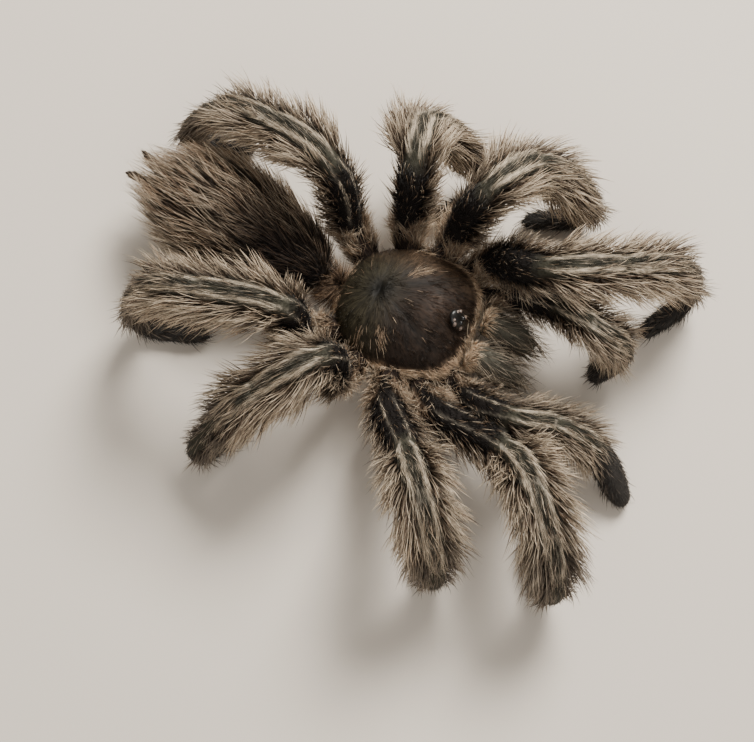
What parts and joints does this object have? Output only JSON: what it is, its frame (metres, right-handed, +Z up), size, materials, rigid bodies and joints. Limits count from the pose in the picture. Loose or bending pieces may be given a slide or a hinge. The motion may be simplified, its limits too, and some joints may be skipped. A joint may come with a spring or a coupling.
{
  "type": "tarantula",
  "caption": "Life-size still model of a hairy tarantula standing on its feet: arched legs and feelers, a domed shield with an eye mound, folded fangs, a long-haired egg-shaped abdomen.",
  "frame": {"origin": "middle of the model's footprint on the floor", "axes": "+Z up; the head faces -Y; the spider's left side is +X"},
  "size_m": [0.0754, 0.0956, 0.0317],
  "materials": {
    "carapace": "dark brown horn shield with a dull sheen and short lying hairs",
    "eyes": "glossy black",
    "fang": "glossy black horn",
    "chelicera_hair": "grey-olive short hair with long tan bristles",
    "abdomen_hair": "dark brown velvet under long tan hairs",
    "spinneret": "short dark brown hair",
    "underside_hair": "short dark brown velvet",
    "femur_hair": "near-black velvet with a few tan bristles",
    "leg_hair": "grey-brown velvet with pale stripes and long cream hairs",
    "foot_hair": "dark slate velvet pads"
  },
  "bodies": {
    "root": {"abdomen": "abdomen_hair", "carapace": "carapace", "chelicera_left": "chelicera_hair", "chelicera_right": "chelicera_hair", "eye_mound": "eyes", "fang_left": "fang", "fang_right": "fang", "leg_1_left_femur": "femur_hair", "leg_1_left_metatarsus": "leg_hair", "leg_1_left_patella": "leg_hair", "leg_1_left_tarsus": "foot_hair", "leg_1_left_tibia": "leg_hair", "leg_1_right_femur": "femur_hair", "leg_1_right_metatarsus": "leg_hair", "leg_1_right_patella": "leg_hair", "leg_1_right_tarsus": "foot_hair", "leg_1_right_tibia": "leg_hair", "leg_2_left_femur": "femur_hair", "leg_2_left_metatarsus": "leg_hair", "leg_2_left_patella": "leg_hair", "leg_2_left_tarsus": "foot_hair", "leg_2_left_tibia": "leg_hair", "leg_2_right_femur": "femur_hair", "leg_2_right_metatarsus": "leg_hair", "leg_2_right_patella": "leg_hair", "leg_2_right_tarsus": "foot_hair", "leg_2_right_tibia": "leg_hair", "leg_3_left_femur": "femur_hair", "leg_3_left_metatarsus": "leg_hair", "leg_3_left_patella": "leg_hair", "leg_3_left_tarsus": "foot_hair", "leg_3_left_tibia": "leg_hair", "leg_3_right_femur": "femur_hair", "leg_3_right_metatarsus": "leg_hair", "leg_3_right_patella": "leg_hair", "leg_3_right_tarsus": "foot_hair", "leg_3_right_tibia": "leg_hair", "leg_4_left_femur": "femur_hair", "leg_4_left_metatarsus": "leg_hair", "leg_4_left_patella": "leg_hair", "leg_4_left_tarsus": "foot_hair", "leg_4_left_tibia": "leg_hair", "leg_4_right_femur": "femur_hair", "leg_4_right_metatarsus": "leg_hair", "leg_4_right_patella": "leg_hair", "leg_4_right_tarsus": "foot_hair", "leg_4_right_tibia": "leg_hair", "palp_left_femur": "femur_hair", "palp_left_patella": "leg_hair", "palp_left_tarsus": "foot_hair", "palp_left_tibia": "leg_hair", "palp_right_femur": "femur_hair", "palp_right_patella": "leg_hair", "palp_right_tarsus": "foot_hair", "palp_right_tibia": "leg_hair", "pedicel": "underside_hair", "prosoma_underside": "underside_hair", "spinneret_left": "spinneret", "spinneret_right": "spinneret"}
  },
  "joints": []
}
